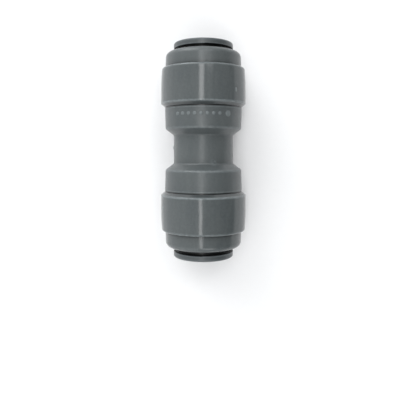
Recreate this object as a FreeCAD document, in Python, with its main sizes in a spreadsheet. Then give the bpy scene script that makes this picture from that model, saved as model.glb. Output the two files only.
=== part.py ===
import FreeCAD, Part
import math
import os

import Sketcher

# Straight push-fit coupling for plastic tube, lying on its side.
#
# The tube axis is the Y axis, +Z is up and the origin is the middle of the coupling, so a
# radius is a distance from the Y axis and "along" is a distance from the middle towards an end.
# Everything at end B is the same piece as at end A, turned half a turn about Z.
#
# A tube slides in through the collet, past the gland washer and two O-rings, and stops
# against the web in the middle of the body. Pulling it back draws the collet's fingers into
# the cap's cone, which presses the steel teeth into the tube. Pushing the collet's flange
# towards the cap holds the fingers clear of the cone and releases the tube.

# Driving dimensions in millimetres, or degrees where the name says angle.
DIMENSIONS = {
    # where the tube and the flow go
    "socket_radius": 4.1,
    "socket_mouth": 5.0,
    "socket_chamfer": 0.3,
    "flow_radius": 3.0,
    "stop_along": 1.0,
    # body: neck, cone, barrel and the spigot that the cap fits over
    "neck_radius": 5.57,
    "neck_end": 2.66,
    "cone_end": 3.85,
    "shoulder_fillet": 0.4,
    "barrel_radius": 7.14,
    "barrel_end_radius": 7.25,
    "barrel_end": 7.93,
    "seam_width": 0.16,
    "seam_depth": 0.22,
    "spigot_radius": 6.9,
    "spigot_end": 14.2,
    "spigot_chamfer": 0.2,
    "snap_foot": 11.5,
    "snap_top": 12.6,
    "snap_slope": 0.25,
    "snap_height": 0.22,
    # body: gland for the O-rings and chamber for the washer and the fingers
    "gland_radius": 5.75,
    "gland_end": 10.2,
    "chamber_radius": 6.2,
    "ridge_height": 0.12,
    "ridge_width": 0.3,
    # rings in the gland
    "seal_section": 0.94,
    "seal_fit": 0.02,
    "seal_room": 2.0,
    "spacer_width": 1.2,
    "washer_width": 1.2,
    "ring_bore": 4.25,
    "ring_fit": 0.05,
    "ring_chamfer": 0.15,
    # cap: flank, ring, crown and nose
    "skirt_fit": 0.05,
    "flank_radius": 7.27,
    "ring_radius": 8.0,
    "ring_foot": 8.54,
    "ring_fillet": 0.15,
    "crown_foot": 11.0,
    "crown_radius": 7.805,
    "crown_end": 15.24,
    "crown_fillet": 0.4,
    "nose_radius": 7.18,
    "nose_end_radius": 7.06,
    "nose_end": 18.25,
    "nose_fillet": 1.0,
    # cap: the cone that closes the fingers, and the mouth that guides the collet
    "skirt_end": 14.3,
    "cone_wide_radius": 5.95,
    "grip_cone_foot": 14.6,
    "grip_cone_top": 17.0,
    "mouth_chamfer": 0.3,
    # collet
    "sleeve_radius": 4.9,
    "sleeve_fit": 0.08,
    "flange_radius": 5.593,
    "flange_width": 1.12,
    "flange_fillet": 0.3,
    "flange_back_fillet": 0.15,
    "waist_radius": 4.55,
    "waist_start": 17.5,
    "lead_in_fillet": 0.5,
    "head_radius": 5.75,
    "head_foot": 12.79,
    "tip_radius": 5.2,
    "tip_along": 12.29,
    "collet_travel": 1.5,
    "cone_play": 0.05,
    "collet_gap_a": 0.61,
    "collet_gap_b": 0.75,
    # the slots between the fingers
    "slot_width": 0.9,
    "slot_end": 16.6,
    "slot_angle": 30,
    # steel teeth in the fingers
    "tooth_root_radius": 5.1,
    "tooth_tip_radius": 3.92,
    "tooth_root_along": 13.29,
    "tooth_tip_along": 12.69,
    "tooth_thickness": 0.34,
    "tooth_bevel": 0.12,
    "tooth_angle": 34,
    "tooth_fit": 0.02,
    "tooth_fit_angle": 0.4,
}
FINGERS = 6
NEAR = 0.001

doc = FreeCAD.newDocument("coupling")


def make_sheet():
    """The spreadsheet with one row per driving dimension: its name, then its value."""
    dim = doc.addObject("Spreadsheet::Sheet", "dim")
    for row, (name, value) in enumerate(DIMENSIONS.items(), 1):
        dim.set(f"A{row}", name)
        dim.set(f"B{row}", str(value))
        dim.setAlias(f"B{row}", name)
    doc.recompute()
    return dim


sheet = make_sheet()


def measure(expression):
    """The value of an expression in the sheet's names."""
    return float(sheet.evalExpression(expression))


def new_body(name):
    return doc.addObject("PartDesign::Body", name)


def origin_part(body, role):
    """A plane or axis of the body's own origin, found by its role."""
    return next(item for item in body.Origin.OriginFeatures if item.Role == role)


def new_sketch(body, name, plane="XY_Plane"):
    sketch = body.newObject("Sketcher::SketchObject", name)
    sketch.AttachmentSupport = [(origin_part(body, plane), "")]
    sketch.MapMode = "FlatFace"
    return sketch


def pin_coordinate(sketch, side, direction, expression):
    """Tie one coordinate of a side's first corner to an expression of the sheet."""
    if expression == "0":
        axis = {"DistanceX": -2, "DistanceY": -1}[direction]
        sketch.addConstraint(Sketcher.Constraint("PointOnObject", side, 1, axis))
        return
    value = measure(expression)
    number = sketch.addConstraint(Sketcher.Constraint(direction, -1, 1, side, 1, value))
    sketch.setExpression(f"Constraints[{number}]", expression)


def tangent_arc(before, start, end):
    """An arc from start to end that leaves start in the direction from before to start."""
    chord = end - start
    turn = (start - before).getAngle(chord)
    across = chord.cross(FreeCAD.Vector(0, 0, 1)).normalize()
    middle = (start + end) * 0.5 + across * (chord.Length / 2 * math.tan(turn / 2))
    return Part.Arc(start, middle, end)


def draw_outline(sketch, corners, arc_sides=()):
    """A closed outline with pinned corners, in order against the clock.

    Each corner is a pair of expressions: radius, then distance along the axis. Side n runs
    from corner n to the next. The sides in arc_sides are arcs tangent to the side before.
    """
    points = [FreeCAD.Vector(measure(r), measure(y), 0) for r, y in corners]
    count = len(points)
    for side in range(count):
        start = points[side]
        end = points[(side + 1) % count]
        if side in arc_sides:
            sketch.addGeometry(tangent_arc(points[side - 1], start, end))
        else:
            sketch.addGeometry(Part.LineSegment(start, end))
    for side in range(count):
        join = "Tangent" if side in arc_sides else "Coincident"
        sketch.addConstraint(Sketcher.Constraint(join, (side - 1) % count, 2, side, 1))
    for side, (radius, along) in enumerate(corners):
        pin_coordinate(sketch, side, "DistanceX", radius)
        pin_coordinate(sketch, side, "DistanceY", along)


def turn_outline(body, name, corners, arc_sides=()):
    """A solid of revolution about the tube axis."""
    sketch = new_sketch(body, f"{name}_outline")
    draw_outline(sketch, corners, arc_sides)
    turned = body.newObject("PartDesign::Revolution", f"{name}_turned")
    turned.Profile = sketch
    turned.ReferenceAxis = (sketch, ["V_Axis"])
    turned.Angle = 360
    doc.recompute()
    return turned


def circles(feature, radius, along):
    """The names of a feature's circular edges of this radius, this far along on either side."""
    names = []
    for number, edge in enumerate(feature.Shape.Edges, 1):
        curve = edge.Curve
        if not isinstance(curve, Part.Circle):
            continue
        right_size = abs(curve.Radius - measure(radius)) < NEAR
        if right_size and abs(abs(curve.Center.y) - measure(along)) < NEAR:
            names.append(f"Edge{number}")
    if not names:
        raise ValueError(f"{feature.Name} has no circular edge {radius} at {along}")
    return names


def round_edges(body, base, name, size, rings):
    """Round the circular edges of base that rings lists as (radius, along) expressions."""
    fillet = body.newObject("PartDesign::Fillet", name)
    edges = []
    for radius, along in rings:
        edges += circles(base, radius, along)
    fillet.Base = (base, edges)
    fillet.setExpression("Radius", size)
    doc.recompute()
    return fillet


def around(body, name, features, count):
    """Repeat cut features evenly around the tube axis."""
    pattern = body.newObject("PartDesign::PolarPattern", name)
    pattern.Originals = features
    pattern.Axis = (origin_part(body, "Y_Axis"), [""])
    pattern.Angle = 360
    pattern.Occurrences = count
    body.Tip = pattern
    doc.recompute()
    return pattern


def place(piece, side, shift="0", turn=0.0):
    """Put a piece at end A or B, moved outward by an expression and turned about the tube axis."""
    spin = FreeCAD.Rotation(FreeCAD.Vector(0, 1, 0), turn)
    half_turn = FreeCAD.Rotation(FreeCAD.Vector(0, 0, 1), 180 if side == "b" else 0)
    piece.Placement = FreeCAD.Placement(FreeCAD.Vector(0, 0, 0), half_turn * spin)
    if shift != "0":
        outward = shift if side == "a" else f"-({shift})"
        piece.setExpression("Placement.Base.y", outward)


# Body --------------------------------------------------------------------------------------


def make_body():
    """Neck, two cones, two barrels and two spigots in one moulding, bored right through.

    Each barrel ends in a narrow groove, the open seam between the body and the cap's rim.
    """
    body = new_body("body")
    ridge_start = "dim.gland_end + dim.washer_width + dim.ring_fit"
    ridge_middle = f"{ridge_start} + dim.ridge_width / 2"
    ridge_end = f"{ridge_start} + dim.ridge_width"
    corners = [
        ("dim.flow_radius", "0"),
        ("dim.neck_radius", "0"),
        ("dim.neck_radius", "dim.neck_end"),
        ("dim.barrel_radius", "dim.cone_end"),
        ("dim.barrel_end_radius", "dim.barrel_end - dim.seam_width"),
        ("dim.barrel_end_radius - dim.seam_depth", "dim.barrel_end - dim.seam_width"),
        ("dim.barrel_end_radius - dim.seam_depth", "dim.barrel_end"),
        ("dim.spigot_radius", "dim.barrel_end"),
        ("dim.spigot_radius", "dim.snap_foot"),
        ("dim.spigot_radius + dim.snap_height", "dim.snap_foot + dim.snap_slope / 2"),
        ("dim.spigot_radius + dim.snap_height", "dim.snap_top - 2 * dim.snap_slope"),
        ("dim.spigot_radius", "dim.snap_top"),
        ("dim.spigot_radius", "dim.spigot_end - dim.spigot_chamfer"),
        ("dim.spigot_radius - dim.spigot_chamfer", "dim.spigot_end"),
        ("dim.chamber_radius", "dim.spigot_end"),
        ("dim.chamber_radius", ridge_end),
        ("dim.chamber_radius - dim.ridge_height", ridge_middle),
        ("dim.chamber_radius", ridge_start),
        ("dim.chamber_radius", "dim.gland_end"),
        ("dim.gland_radius", "dim.gland_end"),
        ("dim.gland_radius", "dim.socket_mouth"),
        ("dim.socket_radius + dim.socket_chamfer", "dim.socket_mouth"),
        ("dim.socket_radius", "dim.socket_mouth - dim.socket_chamfer"),
        ("dim.socket_radius", "dim.stop_along"),
        ("dim.flow_radius", "dim.stop_along"),
    ]
    half = turn_outline(body, "half_body", corners)
    whole = body.newObject("PartDesign::Mirrored", "both_halves")
    whole.Originals = [half]
    whole.MirrorPlane = (origin_part(body, "XZ_Plane"), [""])
    body.Tip = whole
    doc.recompute()
    shoulders = [
        ("dim.neck_radius", "dim.neck_end"),
        ("dim.barrel_radius", "dim.cone_end"),
    ]
    round_edges(body, whole, "shoulder_fillets", "dim.shoulder_fillet", shoulders)
    return body


# Caps --------------------------------------------------------------------------------------


def make_cap(side):
    """The end cap: a wide ring, a narrower rounded nose, and inside it the gripping cone."""
    name = f"cap_{side}"
    body = new_body(name)
    skirt = "dim.spigot_radius + dim.skirt_fit"
    snap = "dim.spigot_radius + dim.skirt_fit + dim.snap_height"
    mouth = "dim.sleeve_radius + dim.sleeve_fit"
    corners = [
        (skirt, "dim.barrel_end"),
        ("dim.flank_radius", "dim.barrel_end"),
        ("dim.ring_radius", "dim.ring_foot"),
        ("dim.ring_radius", "dim.crown_foot"),
        ("dim.crown_radius", "dim.crown_end"),
        ("dim.nose_radius", "dim.crown_end"),
        ("dim.nose_end_radius", "dim.nose_end"),
        (f"{mouth} + dim.mouth_chamfer", "dim.nose_end"),
        (mouth, "dim.nose_end - dim.mouth_chamfer"),
        (mouth, "dim.grip_cone_top"),
        ("dim.cone_wide_radius", "dim.grip_cone_foot"),
        ("dim.cone_wide_radius", "dim.skirt_end"),
        (skirt, "dim.skirt_end"),
        (skirt, "dim.snap_top + dim.skirt_fit"),
        (snap, "dim.snap_top + dim.skirt_fit - 2 * dim.snap_slope"),
        (snap, "dim.snap_foot - dim.skirt_fit + dim.snap_slope / 2"),
        (skirt, "dim.snap_foot - dim.skirt_fit"),
    ]
    turned = turn_outline(body, name, corners, arc_sides=[3])
    foot = [("dim.ring_radius", "dim.ring_foot")]
    crown = [("dim.crown_radius", "dim.crown_end")]
    nose = [("dim.nose_end_radius", "dim.nose_end")]
    rounded = round_edges(body, turned, f"{name}_foot_fillet", "dim.ring_fillet", foot)
    rounded = round_edges(body, rounded, f"{name}_crown_fillet", "dim.crown_fillet", crown)
    round_edges(body, rounded, f"{name}_nose_fillet", "dim.nose_fillet", nose)
    place(body, side)
    return body


# Collets -----------------------------------------------------------------------------------


def tooth_corners(fit="0"):
    """The outline of a tooth, or of the pocket it sits in, which is larger by fit all round."""
    inner = f"dim.tooth_tip_radius - {fit}"
    outer = f"dim.tooth_root_radius + {fit}"
    return [
        (inner, f"dim.tooth_tip_along - {fit}"),
        (outer, f"dim.tooth_root_along - {fit}"),
        (outer, f"dim.tooth_root_along + dim.tooth_thickness + {fit}"),
        (f"{inner} + dim.tooth_bevel", f"dim.tooth_tip_along + dim.tooth_thickness + {fit}"),
    ]


def cut_slots(body, name, before):
    """The slot between two fingers, cut outward from the axis through one side of the sleeve."""
    sketch = new_sketch(body, f"{name}_slot_outline", "YZ_Plane")
    turn = FreeCAD.Rotation(FreeCAD.Vector(1, 0, 0), measure("dim.slot_angle"))
    sketch.AttachmentOffset = FreeCAD.Placement(FreeCAD.Vector(0, 0, 0), turn)
    half = measure("dim.slot_width / 2")
    foot = measure("dim.tip_along - dim.slot_width")
    end = measure("dim.slot_end - dim.slot_width / 2")
    low_start = FreeCAD.Vector(foot, -half, 0)
    low_end = FreeCAD.Vector(end, -half, 0)
    high_end = FreeCAD.Vector(end, half, 0)
    high_start = FreeCAD.Vector(foot, half, 0)
    tip = FreeCAD.Vector(end + half, 0, 0)
    sketch.addGeometry(Part.LineSegment(low_start, low_end))
    sketch.addGeometry(Part.Arc(low_end, tip, high_end))
    sketch.addGeometry(Part.LineSegment(high_end, high_start))
    sketch.addGeometry(Part.LineSegment(high_start, low_start))
    for side, join in enumerate(("Tangent", "Tangent", "Coincident", "Coincident")):
        sketch.addConstraint(Sketcher.Constraint(join, side, 2, (side + 1) % 4, 1))
    sketch.addConstraint(Sketcher.Constraint("Horizontal", 0))
    sketch.addConstraint(Sketcher.Constraint("Vertical", 3))
    sketch.addConstraint(Sketcher.Constraint("PointOnObject", 1, 3, -1))
    for kind, first, value, expression in (
        ("DistanceX", (-1, 1, 1, 3), end, "dim.slot_end - dim.slot_width / 2"),
        ("DistanceX", (-1, 1, 0, 1), foot, "dim.tip_along - dim.slot_width"),
        ("DistanceY", (0, 1, 3, 1), 2 * half, "dim.slot_width"),
    ):
        number = sketch.addConstraint(Sketcher.Constraint(kind, *first, value))
        sketch.setExpression(f"Constraints[{number}]", expression)
    slot = body.newObject("PartDesign::Pocket", f"{name}_slot")
    slot.Profile = sketch
    slot.Reversed = True
    slot.setExpression("Length", "dim.head_radius + dim.slot_width")
    doc.recompute()
    check_cut(before, slot)
    return slot


def cut_tooth_pocket(body, name, before):
    """The pocket for one tooth, an arc of a groove open to the collet's bore."""
    sketch = new_sketch(body, f"{name}_pocket_outline")
    draw_outline(sketch, tooth_corners("dim.tooth_fit"))
    pocket = body.newObject("PartDesign::Groove", f"{name}_tooth_pocket")
    pocket.Profile = sketch
    pocket.ReferenceAxis = (sketch, ["V_Axis"])
    pocket.Midplane = True
    pocket.setExpression("Angle", "dim.tooth_angle + dim.tooth_fit_angle")
    doc.recompute()
    check_cut(before, pocket)
    return pocket


def check_cut(before, after):
    """A cut that points away from its solid removes nothing, so the volumes are compared."""
    if after.Shape.Volume > before.Shape.Volume - NEAR:
        raise ValueError(f"{after.Name} removes nothing from {before.Name}")


def make_collet(side):
    """The release collet: flange, sleeve and six fingers whose heads ride in the cap's cone.

    Behind the flange the sleeve narrows to a waist, so the gap under the flange is deep.
    It is drawn pushed right in, with its flange on the cap's nose, and placed at its gap.
    """
    name = f"collet_{side}"
    body = new_body(name)
    mouth = "(dim.sleeve_radius + dim.sleeve_fit)"
    slope = f"((dim.grip_cone_top - dim.grip_cone_foot) / (dim.cone_wide_radius - {mouth}))"
    back = "(dim.collet_travel + dim.cone_play)"
    head_end = f"dim.grip_cone_foot + (dim.cone_wide_radius - dim.head_radius) * {slope} - {back}"
    taper_end = f"dim.grip_cone_top + dim.sleeve_fit * {slope} - {back}"
    flange_end = "dim.nose_end + dim.flange_width"
    corners = [
        ("dim.socket_radius", "dim.tip_along"),
        ("dim.tip_radius", "dim.tip_along"),
        ("dim.head_radius", "dim.head_foot"),
        ("dim.head_radius", head_end),
        ("dim.sleeve_radius", taper_end),
        ("dim.sleeve_radius", "dim.waist_start"),
        ("dim.waist_radius", "dim.waist_start"),
        ("dim.waist_radius", "dim.nose_end"),
        ("dim.flange_radius", "dim.nose_end"),
        ("dim.flange_radius", flange_end),
        ("dim.socket_radius", flange_end),
    ]
    turned = turn_outline(body, name, corners)
    back_rim = [("dim.flange_radius", "dim.nose_end")]
    front_rim = [("dim.flange_radius", flange_end)]
    entry = [("dim.socket_radius", flange_end)]
    rounded = round_edges(body, turned, f"{name}_back_rim", "dim.flange_back_fillet", back_rim)
    rounded = round_edges(body, rounded, f"{name}_front_rim", "dim.flange_fillet", front_rim)
    rounded = round_edges(body, rounded, f"{name}_lead_in", "dim.lead_in_fillet", entry)
    slot = cut_slots(body, name, rounded)
    slotted = around(body, f"{name}_slots", [slot], FINGERS)
    pocket = cut_tooth_pocket(body, name, slotted)
    around(body, f"{name}_pockets", [pocket], FINGERS)
    place(body, side, f"dim.collet_gap_{side}")
    return body


def make_tooth(side, number):
    """One steel tooth: an arc of a thin cone whose inner edge bites the tube."""
    name = f"tooth_{side}_{number}"
    body = new_body(name)
    sketch = new_sketch(body, f"{name}_outline")
    draw_outline(sketch, tooth_corners())
    tooth = body.newObject("PartDesign::Revolution", f"{name}_turned")
    tooth.Profile = sketch
    tooth.ReferenceAxis = (sketch, ["V_Axis"])
    tooth.Midplane = True
    tooth.setExpression("Angle", "dim.tooth_angle")
    place(body, side, f"dim.collet_gap_{side}", (number - 1) * 360 / FINGERS)
    return body


# Rings in the gland ------------------------------------------------------------------------


def make_o_ring(side, place_name, along):
    """A rubber O-ring that touches neither the gland wall nor its neighbours."""
    ring = doc.addObject("Part::Torus", f"o_ring_{side}_{place_name}")
    ring.setExpression("Radius1", "dim.gland_radius - dim.seal_fit - dim.seal_section")
    ring.setExpression("Radius2", "dim.seal_section")
    upright = FreeCAD.Rotation(FreeCAD.Vector(1, 0, 0), -90)
    ring.Placement = FreeCAD.Placement(FreeCAD.Vector(0, 0, 0), upright)
    ring.setExpression("Placement.Base.y", along if side == "a" else f"-({along})")
    return ring


def make_flat_ring(name, side, radius, start, width):
    """A flat ring with bevelled outer corners, from start to start + width along the axis."""
    body = new_body(name)
    end = f"{start} + {width}"
    corners = [
        ("dim.ring_bore", start),
        (f"{radius} - dim.ring_chamfer", start),
        (radius, f"{start} + dim.ring_chamfer"),
        (radius, f"{end} - dim.ring_chamfer"),
        (f"{radius} - dim.ring_chamfer", end),
        ("dim.ring_bore", end),
    ]
    turn_outline(body, name, corners)
    place(body, side)
    return body


def make_seals(side):
    """Inner O-ring, spacer, outer O-ring and gland washer, in the order they are put in."""
    inner = "dim.socket_mouth + dim.seal_room / 2"
    spacer = "dim.socket_mouth + dim.seal_room"
    outer = f"{spacer} + dim.spacer_width + dim.seal_room / 2"
    spacer_radius = "dim.gland_radius - dim.ring_fit"
    washer_radius = "dim.chamber_radius - dim.ring_fit"
    return [
        make_o_ring(side, "inner", inner),
        make_flat_ring(f"spacer_{side}", side, spacer_radius, spacer, "dim.spacer_width"),
        make_o_ring(side, "outer", outer),
        make_flat_ring(f"washer_{side}", side, washer_radius, "dim.gland_end", "dim.washer_width"),
    ]


# Assembly ----------------------------------------------------------------------------------


def check_and_write(pieces):
    """Stop if anything failed to build. Then write each piece to a file of its own name."""
    doc.recompute()
    for item in doc.Objects:
        if "Invalid" in item.State or "Error" in item.State:
            raise ValueError(f"{item.Name} did not build: {item.State}")
    for piece in pieces:
        shape = piece.Shape
        if shape.isNull() or not shape.isValid() or len(shape.Solids) != 1:
            raise ValueError(f"{piece.Label} is not one valid solid")
    os.makedirs("parts", exist_ok=True)
    for piece in pieces:
        piece.Shape.exportStep(f"parts/{piece.Label}.step")
        print(f"{piece.Label}: {piece.Shape.Volume:.2f} mm3")


def main():
    pieces = [make_body()]
    for side in ("a", "b"):
        pieces.append(make_cap(side))
        pieces.append(make_collet(side))
        for number in range(1, FINGERS + 1):
            pieces.append(make_tooth(side, number))
        pieces += make_seals(side)
    check_and_write(pieces)


main()
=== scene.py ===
import math

import bmesh
import bpy
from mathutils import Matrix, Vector
from mathutils.bvhtree import BVHTree


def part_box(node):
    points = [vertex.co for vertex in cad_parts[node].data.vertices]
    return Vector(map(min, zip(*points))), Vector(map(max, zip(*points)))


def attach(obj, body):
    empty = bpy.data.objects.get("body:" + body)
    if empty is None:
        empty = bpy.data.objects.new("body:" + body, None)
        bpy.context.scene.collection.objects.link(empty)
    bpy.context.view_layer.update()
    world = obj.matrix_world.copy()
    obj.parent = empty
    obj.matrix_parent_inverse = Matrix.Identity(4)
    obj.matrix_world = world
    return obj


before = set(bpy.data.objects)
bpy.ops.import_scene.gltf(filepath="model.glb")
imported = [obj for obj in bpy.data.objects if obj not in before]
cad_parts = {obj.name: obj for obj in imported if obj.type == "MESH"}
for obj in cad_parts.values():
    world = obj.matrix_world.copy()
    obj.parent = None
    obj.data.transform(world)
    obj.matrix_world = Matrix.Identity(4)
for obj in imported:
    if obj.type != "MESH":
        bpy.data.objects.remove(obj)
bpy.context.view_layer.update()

MM = 0.001
SCENE = bpy.context.scene

# A straight push-fit coupling lying on a pale floor, seen from above. The frame brings its 25
# pieces, and this script adds their materials, the light and the small marks left by the mould.
# End A is towards +Y and end B towards -Y.

# Places from the frame. A distance along is along the tube axis, Y. -----------------------------

CAP_LOW, CAP_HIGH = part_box("cap_a")
RING_RADIUS = CAP_HIGH.z
FLOOR_HEIGHT = -RING_RADIUS
BARREL_END = CAP_LOW.y
LEFT, UNDERNEATH, RIGHT = -math.pi / 2, math.pi, math.pi / 2

# Camera: close above the coupling, looking straight down, with end A at the top of the picture.
CAMERA_HEIGHT = 87.4 * MM
CAMERA_LENS = 40.5
CAMERA_SHIFT = (0.0027, -0.1348)


def make_camera():
    data = bpy.data.cameras.new("camera")
    data.lens = CAMERA_LENS
    data.sensor_width = 36.0
    data.shift_x, data.shift_y = CAMERA_SHIFT
    data.clip_start = 5 * MM
    data.clip_end = 10.0
    camera = bpy.data.objects.new("camera", data)
    camera.location = (0, 0, CAMERA_HEIGHT)
    SCENE.collection.objects.link(camera)
    SCENE.camera = camera


# Shader nodes --------------------------------------------------------------------------------


class Tree:
    """Short calls that add linked nodes to one material or world."""

    def __init__(self, tree):
        self.nodes = tree.nodes
        self.links = tree.links

    def feed(self, node, inputs):
        """Link each input that is given a socket, and set the others."""
        for key, value in inputs.items():
            if isinstance(value, bpy.types.NodeSocket):
                self.links.new(value, node.inputs[key])
            else:
                node.inputs[key].default_value = value

    def add(self, kind, inputs, **settings):
        node = self.nodes.new("ShaderNode" + kind)
        for key, value in settings.items():
            setattr(node, key, value)
        self.feed(node, inputs)
        return node

    def math(self, operation, first, second=0.0):
        return self.add("Math", {0: first, 1: second}, operation=operation).outputs[0]

    def remap(self, value, low, high, to_low=0.0, to_high=1.0):
        """A smooth step from to_low at low to to_high at high, level beyond both."""
        inputs = {"Value": value, "From Min": low, "From Max": high}
        inputs.update({"To Min": to_low, "To Max": to_high})
        node = self.add("MapRange", inputs, interpolation_type="SMOOTHSTEP")
        return node.outputs["Result"]

    def mix(self, factor, first, second):
        """A blend from the first color to the second."""
        node = self.add("Mix", {0: factor, 6: first, 7: second}, data_type="RGBA")
        return node.outputs[2]

    def tint(self, color, factor):
        """A color times a number."""
        node = self.add("VectorMath", {0: color, "Scale": factor}, operation="SCALE")
        return node.outputs[0]

    def stretch(self, place, scale):
        """A place times a scale for each direction."""
        return self.add("VectorMath", {0: place, 1: scale}, operation="MULTIPLY").outputs[0]

    def noise(self, place, scale, detail=2.0, roughness=0.5):
        inputs = {"Vector": place, "Scale": scale, "Detail": detail, "Roughness": roughness}
        return self.add("TexNoise", inputs).outputs[0]

    def curve(self, value, points):
        """A straight-line graph through (value, result) points, for values from -1 to 1."""
        peak = max(result for _, result in points)
        inputs = {0: value, 1: 0.5, 2: 0.5}
        share = self.add("Math", inputs, operation="MULTIPLY_ADD").outputs[0]
        ramp = self.add("ValToRGB", {0: share})
        stops = ramp.color_ramp.elements
        for at, _ in points[1:-1]:
            stops.new(at / 2 + 0.5)
        for stop, (_, result) in zip(stops, points):
            stop.color = (*[result / peak] * 3, 1)
        return self.math("MULTIPLY", ramp.outputs[0], peak)


# Light and floor -----------------------------------------------------------------------------

# How bright the studio is by direction, along X (left to right) and along Y (end B to end A).
SKY_ACROSS = (
    (-1, 2.2),
    (-0.55, 1.65),
    (-0.3, 1.75),
    (-0.16, 1.15),
    (0.1, 0.95),
    (0.5, 0.62),
    (1, 0.2),
)
SKY_ALONG = ((-1, 1.0), (-0.6, 1.2), (-0.35, 0.65), (0.38, 0.55), (0.6, 2.0), (1, 2.1))
SKY_STRENGTH = 0.68
SKY_TINT = (0.975, 0.99, 1.0, 1)

# Each light: its tilt from straight up towards (+X, +Y) and its size, both in degrees, and its
# radiance. The strips make the bright line along each cap, and the patches and glows the soft
# light beside it.
LIGHTS = {
    "key": ((-50, 60), (40, 24), 2.2),
    "strip_end_a": ((-4.8, 15), (12, 30), 5.1),
    "strip_end_b": ((-7.2, -15), (7.4, 30), 5.1),
    "patch_end_a": ((17, 28.5), (17, 15), 4.0),
    "glow_end_a": ((17, 12), (14, 18), 0.4),
    "glow_right": ((58, 12), (56, 24), 0.25),
    "patch_end_b": ((18, -42), (30, 24), 2.2),
}
LIGHT_DISTANCE = 0.5
FLOOR_REACH = 2.0


def make_world():
    """A bright side at the left fading to a dim one at the right, and brighter ends."""
    world = bpy.data.worlds.new("studio")
    world.use_nodes = True
    tree = Tree(world.node_tree)
    direction = tree.add("TexCoord", {}).outputs["Generated"]
    split = tree.add("SeparateXYZ", {0: direction})
    across = tree.curve(split.outputs["X"], SKY_ACROSS)
    along = tree.curve(split.outputs["Y"], SKY_ALONG)
    strength = tree.math("MULTIPLY", tree.math("MULTIPLY", across, along), SKY_STRENGTH)
    tree.feed(tree.nodes["Background"], {"Color": SKY_TINT, "Strength": strength})
    SCENE.world = world
    SCENE.view_settings.view_transform = "Standard"


def make_lights():
    """Rectangular lights, each described by the reflection it makes in the coupling."""
    for name, (tilt, size, radiance) in LIGHTS.items():
        across, along = (math.radians(angle) for angle in tilt)
        direction = Vector((math.tan(across), math.tan(along), 1)).normalized()
        data = bpy.data.lights.new(name, "AREA")
        data.shape = "RECTANGLE"
        sides = (2 * LIGHT_DISTANCE * math.tan(math.radians(angle) / 2) for angle in size)
        data.size, data.size_y = sides
        data.energy = radiance * math.pi * data.size * data.size_y
        light = bpy.data.objects.new(name, data)
        light.location = direction * LIGHT_DISTANCE
        light.rotation_euler = (-along, across, 0)
        SCENE.collection.objects.link(light)


def make_floor():
    """A pale paper floor that the coupling lies on."""
    mesh = bpy.data.meshes.new("floor")
    corners = [(x * FLOOR_REACH, y * FLOOR_REACH) for x, y in ((-1, -1), (1, -1), (1, 1), (-1, 1))]
    mesh.from_pydata([(x, y, FLOOR_HEIGHT) for x, y in corners], [], [(0, 1, 2, 3)])
    floor = bpy.data.objects.new("floor", mesh)
    material = bpy.data.materials.new("floor_white")
    material.use_nodes = True
    tree = Tree(material.node_tree)
    place = tree.add("TexCoord", {}).outputs["Object"]
    paper = tree.noise(place, 900.0)
    color = tree.mix(paper, (0.85, 0.85, 0.855, 1), (0.87, 0.87, 0.875, 1))
    tree.feed(tree.nodes["Principled BSDF"], {"Base Color": color, "Roughness": 0.6})
    mesh.materials.append(material)
    SCENE.collection.objects.link(floor)


# Materials -----------------------------------------------------------------------------------


def new_material(name):
    """A material, its tree, and the place on the object in millimetres."""
    material = bpy.data.materials.new(name)
    material.use_nodes = True
    tree = Tree(material.node_tree)
    place = tree.add("TexCoord", {}).outputs["Object"]
    return material, tree, tree.tint(place, 1 / MM)


def bump(tree, height, depth, normal=None):
    """A bump whose height from 0 to 1 stands for a depth in millimetres."""
    inputs = {"Height": height, "Distance": depth * MM, "Strength": 1.0}
    if normal is not None:
        inputs["Normal"] = normal
    return tree.add("Bump", inputs).outputs["Normal"]


def near_seam(tree, along):
    """1 at the seam at the rim of a cap, falling to 0 half a millimetre from it."""
    seam = BARREL_END / MM
    barrel_side = tree.remap(along, seam - 0.5, seam - 0.2)
    cap_side = tree.remap(along, seam + 0.5, seam + 0.25)
    return tree.math("MULTIPLY", barrel_side, cap_side)


def edge_highlight_and_wear_mask(tree, place):
    """A patchy mask on the edges of a piece, from 0 on flat skin to 1, for a painted highlight and
    a little extra roughness from wear.
    """
    ao = {"Distance": 0.35 * MM}
    inner = tree.add("AmbientOcclusion", ao, inside=True, only_local=True, samples=8)
    edge = tree.remap(inner.outputs["AO"], 0.97, 0.86)
    patchy = tree.remap(tree.noise(place, 1.7, 3.0), 0.25, 0.7, 0.4, 1.0)
    return tree.math("MULTIPLY", edge, patchy)


def paint_crevice_shade(tree, base, distance, closed, opened, darkest):
    """A color with painted shade: darkest where other surfaces within the distance close a place
    in.
    """
    outer = tree.add("AmbientOcclusion", {"Distance": distance * MM}, samples=8)
    return tree.tint(base, tree.remap(outer.outputs["AO"], closed, opened, darkest, 1.0))


def scraped(tree, place, middle):
    """A small torn patch around a place in millimetres, from 0 to 1."""
    away = tree.add("VectorMath", {0: place, 1: middle}, operation="DISTANCE")
    near = tree.remap(away.outputs["Value"], 0.9, 0.3)
    torn = tree.remap(tree.noise(place, 4.5, 3.0), 0.42, 0.6)
    return tree.math("MULTIPLY", near, torn)


def shade(color, factor):
    """A color times a number, with full alpha."""
    return (*[channel * factor for channel in color], 1)


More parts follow.
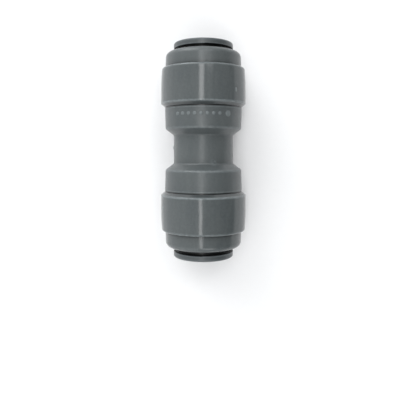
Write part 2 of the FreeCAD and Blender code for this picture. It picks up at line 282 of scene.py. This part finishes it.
def plastic(name, color, roughness, grain, nose_roughness=None, edge_highlight_tint=3.0, scrape=None):
    """Moulded plastic: flow marks, fine grain, painted edge highlights and painted shade.

    Grain is the depth of the surface texture in millimetres. A nose roughness applies beyond
    the shoulder of a cap. The edge highlight tint is how much paler the edges are painted, as
    a painted highlight; the same edges are also a little rougher from wear. Crevices get
    painted shade, and the seam at the rim of a cap is painted darker as shade, with no painted
    highlight on its edges. A scrape is the middle of a small pale patch, in millimetres.
    """
    material, tree, place = new_material(name)
    along = tree.math("ABSOLUTE", tree.add("SeparateXYZ", {0: place}).outputs["Y"])
    seam = near_seam(tree, along)
    flow = tree.noise(tree.stretch(place, (0.55, 0.16, 0.55)), 1.0, 4.0, 0.6)
    mottle = tree.noise(place, 2.6, 3.0)
    specks = tree.noise(place, 16.0, 1.0)
    warm_pale = (color[0] * 1.08, color[1] * 1.06, color[2] * 1.04, 1)
    base = tree.mix(tree.remap(flow, 0.3, 0.7), shade(color, 0.93), warm_pale)
    base = tree.tint(base, tree.remap(mottle, 0.3, 0.7, 0.96, 1.04))
    base = tree.tint(base, tree.remap(specks, 0.7, 0.82, 1.0, 1.25))
    # Painted highlight: the edges are painted paler than the plastic, except at the seam; the same
    # mask adds a little roughness from wear.
    edge_highlight_and_wear = tree.math("MULTIPLY", edge_highlight_and_wear_mask(tree, place), tree.math("SUBTRACT", 1.0, seam))
    base = tree.mix(edge_highlight_and_wear, base, shade(color, edge_highlight_tint))
    # Painted shade: darker where nearby surfaces close a place in.
    base = paint_crevice_shade(tree, base, 2.0, 0.3, 1.0, 0.08)
    # Painted shade: darker along the seam at the rim of each cap, where the cap's step shades the
    # barrel.
    base = tree.tint(base, tree.remap(seam, 0.0, 1.0, 1.0, 0.7))
    if scrape:
        base = tree.mix(scraped(tree, place, scrape), base, shade(color, 1.5))

    scuffs = tree.noise(tree.stretch(place, (1.0, 3.0, 1.0)), 1.1, 5.0, 0.7)
    rough = tree.remap(scuffs, 0.35, 0.75, roughness * 0.9, roughness * 1.3)
    if nose_roughness:
        nose = tree.remap(along, NOSE_START, NOSE_START + 0.2, 0.0, nose_roughness - roughness)
        rough = tree.math("ADD", rough, nose)
    rough = tree.math("ADD", rough, tree.math("MULTIPLY", edge_highlight_and_wear, 0.08))

    waves = bump(tree, tree.noise(place, 0.45, 2.0), 0.02)
    texture = bump(tree, tree.noise(place, 11.0, 3.0, 0.6), grain, waves)
    shader = tree.nodes["Principled BSDF"]
    tree.feed(shader, {"Base Color": base, "Roughness": rough, "Normal": texture, "IOR": 1.48})
    return material


def rubber(name):
    """Black seal rubber with a dull, finely pitted skin."""
    material, tree, place = new_material(name)
    cloud = tree.noise(place, 1.3, 3.0)
    base = tree.mix(cloud, (0.010, 0.010, 0.011, 1), (0.022, 0.022, 0.021, 1))
    rough = tree.remap(tree.noise(place, 5.0, 3.0), 0.3, 0.7, 0.42, 0.6)
    pits = bump(tree, tree.noise(place, 14.0, 2.0), 0.004)
    shader = tree.nodes["Principled BSDF"]
    tree.feed(shader, {"Base Color": base, "Roughness": rough, "Normal": pits, "IOR": 1.52})
    return material


def pale_plastic(name, color):
    """Unpigmented plastic for the rings inside: milky, faintly streaked and satin."""
    material, tree, place = new_material(name)
    streak = tree.noise(tree.stretch(place, (0.5, 2.5, 0.5)), 1.0, 3.0)
    base = tree.mix(streak, shade(color, 0.9), shade(color, 1.0))
    # Painted shade: darker where nearby surfaces close a place in.
    base = paint_crevice_shade(tree, base, 1.6, 0.1, 0.8, 0.55)
    rough = tree.remap(tree.noise(place, 6.0, 3.0), 0.3, 0.7, 0.36, 0.5)
    grain = bump(tree, tree.noise(place, 12.0, 2.0), 0.003)
    shader = tree.nodes["Principled BSDF"]
    tree.feed(shader, {"Base Color": base, "Roughness": rough, "Normal": grain, "IOR": 1.48})
    return material


def steel(name):
    """Stamped stainless steel with fine lines left by rolling."""
    material, tree, place = new_material(name)
    lines = tree.noise(tree.stretch(place, (2.0, 26.0, 26.0)), 1.0, 2.0)
    base = tree.mix(lines, (0.50, 0.49, 0.47, 1), (0.66, 0.65, 0.63, 1))
    rough = tree.remap(lines, 0.3, 0.7, 0.2, 0.38)
    brushed = bump(tree, lines, 0.002)
    shader = tree.nodes["Principled BSDF"]
    inputs = {"Base Color": base, "Metallic": 1.0, "Roughness": rough, "Normal": brushed}
    tree.feed(shader, inputs)
    return material


GREY = (0.073, 0.084, 0.087)
# Painted highlight: the raised marks are moulded in the same grey plastic, but painted 1.7 times
# paler, as if lit more.
MARK_HIGHLIT_GREY = [channel * 1.7 for channel in GREY]
COLLET_GREY = (0.062, 0.072, 0.076)

# In millimetres: where a cap's nose starts along the axis, and the middle of the scrape.
NOSE_START = 15.2
SCRAPE_ON_NECK = (1.8, -2.4, 5.3)

MATERIALS = {
    "body": plastic("body_plastic", GREY, 0.32, 0.005, scrape=SCRAPE_ON_NECK),
    "cap_a": plastic("cap_plastic_a", GREY, 0.14, 0.0012, nose_roughness=0.3),
    "cap_b": plastic("cap_plastic_b", GREY, 0.14, 0.0012, nose_roughness=0.18),
    "collet": plastic("collet_plastic", COLLET_GREY, 0.32, 0.003, edge_highlight_tint=1.8),
    "mark": plastic("mark_plastic", MARK_HIGHLIT_GREY, 0.32, 0.004, edge_highlight_tint=1.0),
    "o_ring": rubber("seal_rubber"),
    "spacer": pale_plastic("spacer_plastic", (0.66, 0.65, 0.61)),
    "washer": pale_plastic("washer_plastic", (0.60, 0.59, 0.56)),
    "tooth": steel("tooth_steel"),
}


def dress_frame():
    """Give every CAD node the material whose key its name begins with."""
    for name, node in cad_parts.items():
        start = next(key for key in MATERIALS if name.startswith(key))
        node.data.materials.clear()
        node.data.materials.append(MATERIALS[start])


# Raised details left by the mould -------------------------------------------------------------

# How far the edge of a raised detail goes into the surface that carries it.
SINK = 0.05 * MM

PIP_ALONG = 6.4 * MM
PIP_FIRST, PIP_LAST, PIP_COUNT = -5.0 * MM, 3.0 * MM, 8
PIP_RADIUS, PIP_HEIGHT = 0.36 * MM, 0.08 * MM
END_PIP_AROUND, END_PIP_RADIUS, END_PIP_HEIGHT = 4.75 * MM, 0.62 * MM, 0.1 * MM
PARTING_LINE_SHORT_BY, PARTING_LINE_POINTS = 0.3 * MM, 121
PARTING_LINE_HALF_WIDTH, PARTING_LINE_HEIGHT = 0.07 * MM, 0.035 * MM
GATE_ALONG, GATE_RADIUS, GATE_HEIGHT, GATE_LUMPS = 0.3 * MM, 0.42 * MM, 0.15 * MM, 0.35
EJECTOR_ALONG, EJECTOR_RADIUS, EJECTOR_POINTS = 5.9 * MM, 1.0 * MM, 40
EJECTOR_HALF_WIDTH, EJECTOR_HEIGHT = 0.06 * MM, 0.03 * MM

CAVITY_RADIUS, CAVITY_TAIL = 0.28 * MM, 0.4 * MM

# Each cap's cavity mark: its turn from +Z towards +X, its place along, and its height.
CAVITY_MARKS = {"a": (0.812, 10.5 * MM, 0.09 * MM), "b": (-1.181, -11.0 * MM, 0.05 * MM)}


class Surface:
    """The outside of a CAD node that is round about the tube axis."""

    def __init__(self, node):
        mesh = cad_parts[node].data
        corners = [vertex.co for vertex in mesh.vertices]
        self.tree = BVHTree.FromPolygons(corners, [face.vertices for face in mesh.polygons])

    def radius(self, along):
        start = Vector((0, along, 2 * RING_RADIUS))
        return self.tree.ray_cast(start, Vector((0, 0, -1)))[0].z

    def point(self, turn, around, along, height):
        """A point at this height above the surface.

        It is turned from +Z towards +X by turn, and then goes around the surface by a length.
        """
        radius = self.radius(along)
        angle = turn + around / radius
        radius += height
        return Vector((math.sin(angle) * radius, along, math.cos(angle) * radius))


def skin(bm, rings, closed):
    """Faces between rings of points, with the two ends covered unless the rings close."""
    loops = [[bm.verts.new(point) for point in ring] for ring in rings]
    sides = len(loops[0])
    for i in range(len(loops) if closed else len(loops) - 1):
        here, there = loops[i], loops[(i + 1) % len(loops)]
        for j in range(sides):
            k = (j + 1) % sides
            bm.faces.new((here[j], here[k], there[k], there[j]))
    if not closed:
        bm.faces.new(loops[0])
        bm.faces.new(loops[-1])


def bead(bm, surface, turn, path, half_width, height, closed=False):
    """A raised bead on a surface, along a path of (around, along) points."""
    spots = [Vector(spot) for spot in path]
    ways = [(spots[(i + 1) % len(spots)] - spot).normalized() for i, spot in enumerate(spots)]
    if not closed:
        ways[-1] = ways[-2]
    sections = ((-1, -SINK), (-0.75, 0.7 * height), (0, height), (0.75, 0.7 * height), (1, -SINK))
    rings = []
    for i, spot in enumerate(spots):
        behind = ways[i - 1] if closed or i else ways[0]
        middle = (ways[i] + behind).normalized()
        side = Vector((-middle.y, middle.x)) * half_width / max(middle.dot(behind), 0.5)
        edges = [(spot + side * share, lift) for share, lift in sections]
        rings.append([surface.point(turn, edge.x, edge.y, lift) for edge, lift in edges])
    skin(bm, rings, closed)


def dome(bm, surface, turn, middle, radius, height, lumps=0.0, drawn_out=0.0):
    """A low dome on a surface, which may be lumpy or drawn out to a drop's shape towards +Y."""
    steps, sides = 7, 28
    rings = []
    for i in range(steps, 0, -1):
        share = i / steps
        ring = []
        for j in range(sides):
            angle = 2 * math.pi * j / sides
            out = (radius + drawn_out * max(0.0, math.sin(angle)) ** 3) * share
            lift = height * (1 - share**2) - (SINK if i == steps else 0)
            lift *= 1 + lumps * math.sin(5 * angle + 9 * share) * share
            spot = (middle[0] + out * math.cos(angle), middle[1] + out * math.sin(angle))
            ring.append(surface.point(turn, *spot, lift))
        rings.append(ring)
    skin(bm, rings, closed=False)


def add_piece(name, bm, material):
    """Turn a bmesh into a piece of the housing."""
    bmesh.ops.recalc_face_normals(bm, faces=bm.faces)
    mesh = bpy.data.meshes.new(name)
    bm.to_mesh(mesh)
    bm.free()
    for face in mesh.polygons:
        face.use_smooth = True
    mesh.set_sharp_from_angle(angle=math.radians(50))
    mesh.materials.append(material)
    piece = bpy.data.objects.new(name, mesh)
    SCENE.collection.objects.link(piece)
    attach(piece, "housing")


def evenly(start, end, count):
    return [start + (end - start) * i / (count - 1) for i in range(count)]


def circle(middle, radius, count):
    """Points on a circle about a (around, along) point, without the first one again."""
    turns = evenly(0, 2 * math.pi, count + 1)[:-1]
    return [(middle[0] + radius * math.cos(t), middle[1] + radius * math.sin(t)) for t in turns]


def make_index_marks(surface):
    """A row of round pips on the barrel at end A, and a larger pip after them."""
    bm = bmesh.new()
    for around in evenly(PIP_FIRST, PIP_LAST, PIP_COUNT):
        dome(bm, surface, 0, (around, PIP_ALONG), PIP_RADIUS, PIP_HEIGHT)
    dome(bm, surface, 0, (END_PIP_AROUND, PIP_ALONG), END_PIP_RADIUS, END_PIP_HEIGHT)
    add_piece("index_marks", bm, MATERIALS["mark"])


def make_parting_lines(surface):
    """The thin line of flash on each side of the body where the mould's halves met."""
    reach = BARREL_END - PARTING_LINE_SHORT_BY
    path = [(0.0, along) for along in evenly(-reach, reach, PARTING_LINE_POINTS)]
    for side, turn in (("left", LEFT), ("right", RIGHT)):
        bm = bmesh.new()
        bead(bm, surface, turn, path, PARTING_LINE_HALF_WIDTH, PARTING_LINE_HEIGHT)
        add_piece(f"parting_line_{side}", bm, MATERIALS["body"])


def make_gate(surface):
    """The lumpy stub left on the neck where the plastic was fed in."""
    bm = bmesh.new()
    dome(bm, surface, LEFT, (0, GATE_ALONG), GATE_RADIUS, GATE_HEIGHT, lumps=GATE_LUMPS)
    add_piece("gate_stub", bm, MATERIALS["body"])


def make_cavity_marks():
    """A small raised drop on each cap, which tells one mould cavity from the next."""
    for side, (turn, along, height) in CAVITY_MARKS.items():
        bm = bmesh.new()
        cap = Surface(f"cap_{side}")
        dome(bm, cap, turn, (0, along), CAVITY_RADIUS, height, drawn_out=CAVITY_TAIL)
        add_piece(f"cavity_mark_{side}", bm, MATERIALS["mark"])


def make_ejector_marks(surface):
    """The faint rings that the ejector pins left under each barrel."""
    for side, along in (("a", EJECTOR_ALONG), ("b", -EJECTOR_ALONG)):
        bm = bmesh.new()
        path = circle((0, along), EJECTOR_RADIUS, EJECTOR_POINTS)
        width, height = EJECTOR_HALF_WIDTH, EJECTOR_HEIGHT
        bead(bm, surface, UNDERNEATH, path, width, height, closed=True)
        add_piece(f"ejector_mark_{side}", bm, MATERIALS["body"])


make_camera()
make_world()
make_lights()
make_floor()
dress_frame()
body = Surface("body")
make_index_marks(body)
make_parting_lines(body)
make_gate(body)
make_cavity_marks()
make_ejector_marks(body)
